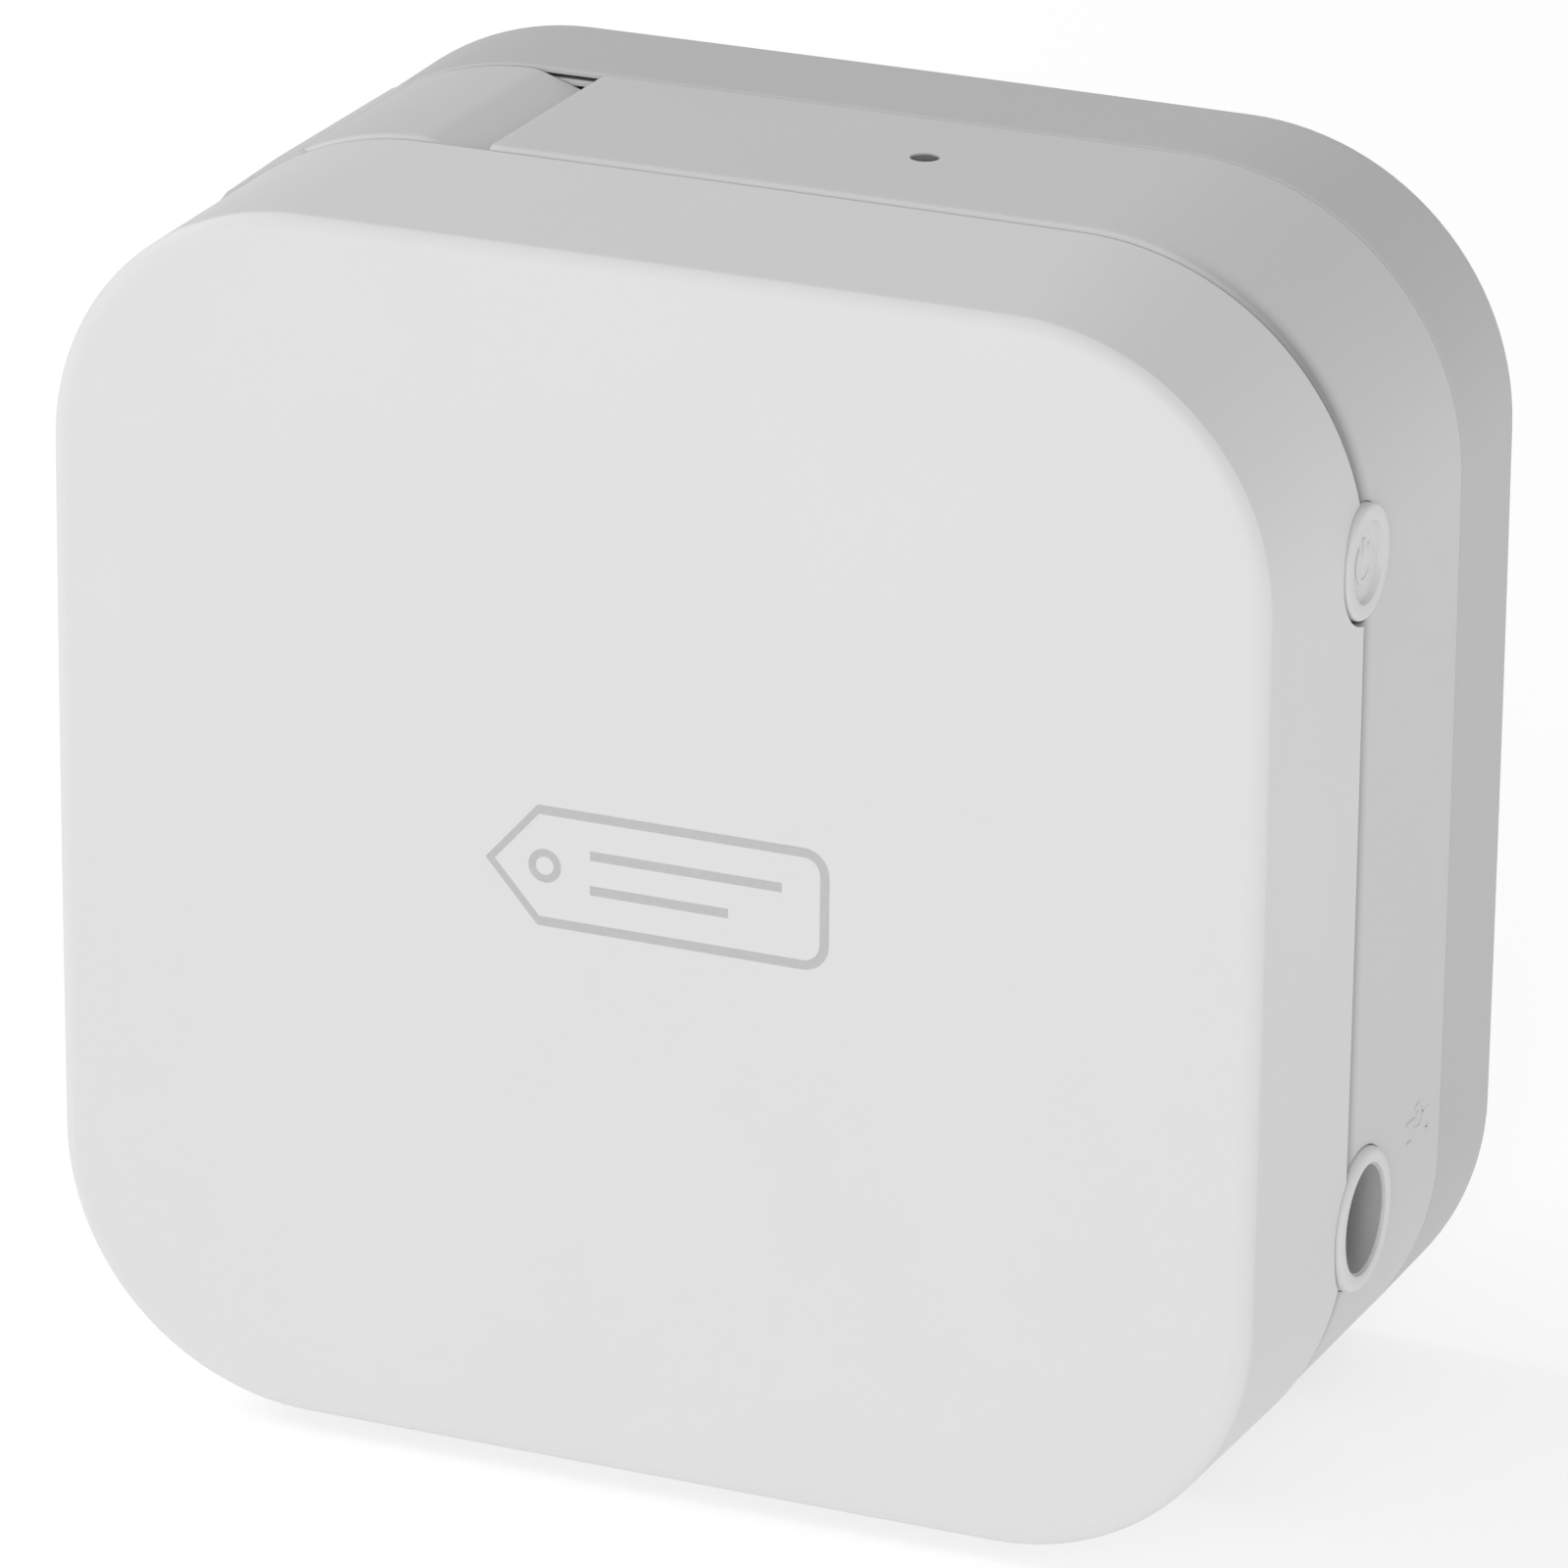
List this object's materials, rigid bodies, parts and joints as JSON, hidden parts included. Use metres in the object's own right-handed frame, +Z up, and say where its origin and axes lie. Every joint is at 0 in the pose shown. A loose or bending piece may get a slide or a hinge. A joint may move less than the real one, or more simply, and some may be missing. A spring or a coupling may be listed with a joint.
{
  "type": "label maker",
  "caption": "Rounded-square desktop label maker with a cutter lever on one top corner, a side power button and inlet, and a lift-off back.",
  "frame": {"origin": "centre of the bottom of the bounding box, on the surface it stands on", "axes": "+Z up, front face looks along -Y, +X towards the side with the power button and the power inlet"},
  "size_m": [0.115, 0.061, 0.115],
  "materials": {
    "white_shell": "fine satin texture",
    "grey_cover": "fine satin texture",
    "grey_frame": "fine satin texture",
    "lens": "smoked, clear",
    "dark_plastic": "moulded",
    "board": "solder mask over glass fibre",
    "shield": "tinned shield",
    "sleeve": "shrink sleeve",
    "steel": "bright zinc plate",
    "gear_plastic": "natural acetal",
    "roller_rubber": "ground rubber",
    "head_ceramic": "glazed",
    "cassette_plastic": "fine texture",
    "tape": "laminated tape",
    "ribbon": "ink film",
    "cell_sleeve": "printed sleeve, plain"
  },
  "bodies": {
    "case": {"front_shell": "white_shell", "center_frame": "grey_frame", "main_board": "board", "wireless_module": "shield", "board_capacitor": "sleeve", "power_switch": "dark_plastic", "dc_jack_body": "dark_plastic", "dc_jack_pin": "steel", "dc_jack_collar": "white_shell", "status_light_lens": "lens", "feed_motor": "steel", "fixed_knife": "steel", "cassette_tray": "cassette_plastic", "cassette_lid": "cassette_plastic", "tape_roll": "tape", "ribbon_roll": "ribbon", "label_tape": "tape", "lever_pivot_pin": "steel", "head_pivot_pin": "steel", "lever_spring": "steel", "case_screw_1": "steel", "case_screw_2": "steel", "case_screw_3": "steel", "case_screw_4": "steel", "battery_1": "cell_sleeve", "battery_2": "cell_sleeve", "battery_3": "cell_sleeve", "battery_4": "cell_sleeve", "battery_5": "cell_sleeve", "battery_6": "cell_sleeve", "battery_contact_1": "steel", "battery_contact_2": "steel", "battery_contact_3": "steel", "battery_contact_4": "steel", "battery_contact_5": "steel", "battery_contact_6": "steel", "battery_contact_7": "steel"},
    "lever": {"cutter_lever": "grey_cover"},
    "cutter": {"blade_carrier": "dark_plastic", "cutter_blade": "steel"},
    "button": {"power_button": "white_shell"},
    "cover": {"back_cover": "grey_cover"},
    "motor_rotor": {"motor_pinion": "gear_plastic"},
    "drive": {"drive_gear": "gear_plastic"},
    "idler": {"idler_gear": "gear_plastic"},
    "platen": {"platen_gear": "gear_plastic", "platen_roller": "roller_rubber"},
    "spindle": {"ribbon_spindle": "gear_plastic", "takeup_core": "ribbon"},
    "head": {"head_arm": "steel", "print_head": "head_ceramic"}
  },
  "joints": [
    {"name": "lever_press", "type": "hinge", "parent": "case", "child": "lever", "pos_m": [-0.052, 0, 0.0605], "axis": [0, 1, 0], "range_deg": [0, 4.5], "stiffness_Nm_per_rad": 0.3, "springref_deg": -5.73, "deforming": ["lever_spring"]},
    {"name": "cutter_slide", "type": "slide", "parent": "case", "child": "cutter", "axis": [0, 0, -1], "range_m": [0, 0.0026]},
    {"name": "button_press", "type": "slide", "parent": "case", "child": "button", "axis": [-1, 0, 0], "range_m": [0, 0.0008], "stiffness_N_per_m": 1500, "springref_m": -0.0006},
    {"name": "cover_slide", "type": "slide", "parent": "case", "child": "cover", "axis": [0, 1, 0], "range_m": [0, 0.04]},
    {"name": "drive_spin", "type": "hinge", "parent": "case", "child": "drive", "pos_m": [-0.0255, 0, 0.0868], "axis": [0, 1, 0], "continuous": true},
    {"name": "motor_spin", "type": "hinge", "parent": "case", "child": "motor_rotor", "pos_m": [-0.0331, 0, 0.07595], "axis": [0, 1, 0], "continuous": true},
    {"name": "idler_spin", "type": "hinge", "parent": "case", "child": "idler", "pos_m": [-0.00973, 0, 0.09784], "axis": [0, 1, 0], "continuous": true},
    {"name": "platen_spin", "type": "hinge", "parent": "case", "child": "platen", "pos_m": [0.00211, 0, 0.10613], "axis": [0, 1, 0], "continuous": true},
    {"name": "spindle_spin", "type": "hinge", "parent": "case", "child": "spindle", "pos_m": [0.00417, 0, 0.08982], "axis": [0, 1, 0], "continuous": true},
    {"name": "head_lift", "type": "hinge", "parent": "case", "child": "head", "pos_m": [0.026, 0, 0.1109], "axis": [0, 1, 0], "range_deg": [0, 0.8], "stiffness_Nm_per_rad": 0.2, "springref_deg": -2.86}
  ],
  "couplings": [
    {"joint": "cutter_slide", "follows": "lever_press", "m_per_rad": 0.031831},
    {"joint": "motor_spin", "follows": "drive_spin", "ratio": -2.6667},
    {"joint": "idler_spin", "follows": "drive_spin", "ratio": -1},
    {"joint": "platen_spin", "follows": "drive_spin", "ratio": 2},
    {"joint": "spindle_spin", "follows": "drive_spin", "ratio": 1.5}
  ]
}
